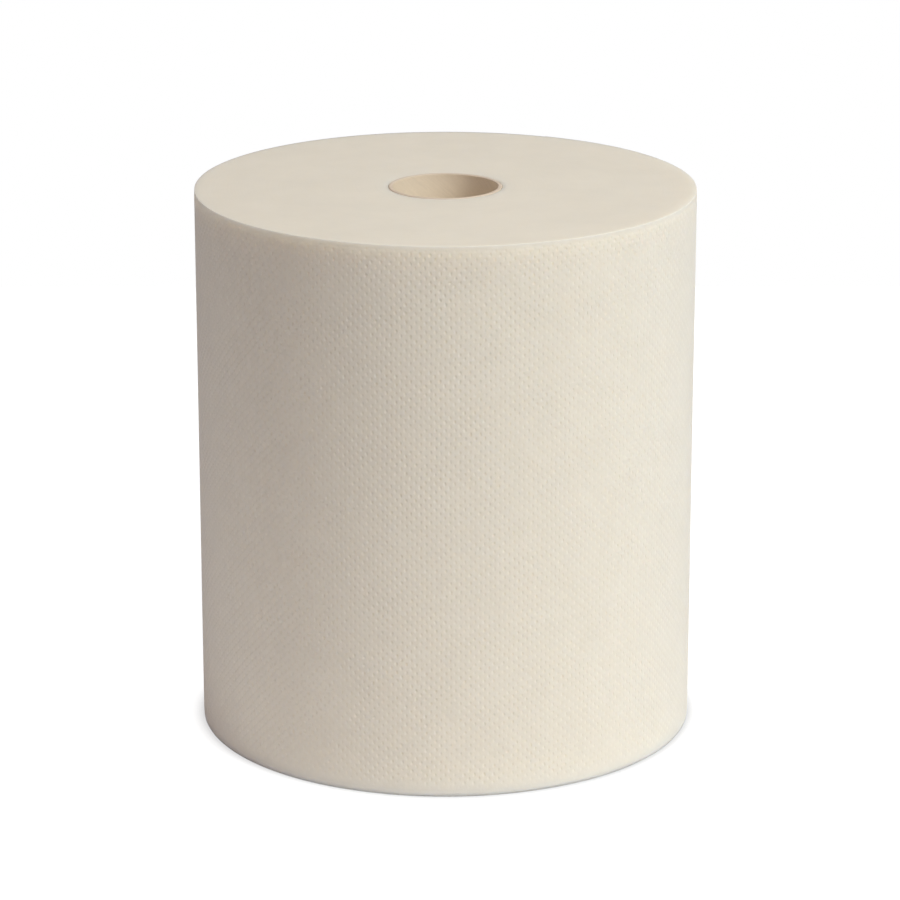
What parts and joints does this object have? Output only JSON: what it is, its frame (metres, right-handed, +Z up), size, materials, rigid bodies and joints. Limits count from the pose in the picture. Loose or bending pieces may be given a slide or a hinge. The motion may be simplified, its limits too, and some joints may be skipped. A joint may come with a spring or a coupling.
{
  "type": "paper towel roll",
  "caption": "Hard-wound roll of embossed paper towel on a plain cardboard core, standing on its end.",
  "frame": {"origin": "middle of the lower end, on the axis of the core", "axes": "+Z up the axis of the core, +X to the viewer's right and +Y away from the viewer in the picture"},
  "size_m": [0.1898, 0.1896, 0.21],
  "materials": {
    "core_board": "matt spiral-wound board",
    "towel_paper": "matt unbleached tissue with small dots pressed into it"
  },
  "bodies": {
    "root": {"core": "core_board", "wound_towel": "towel_paper"}
  },
  "joints": []
}
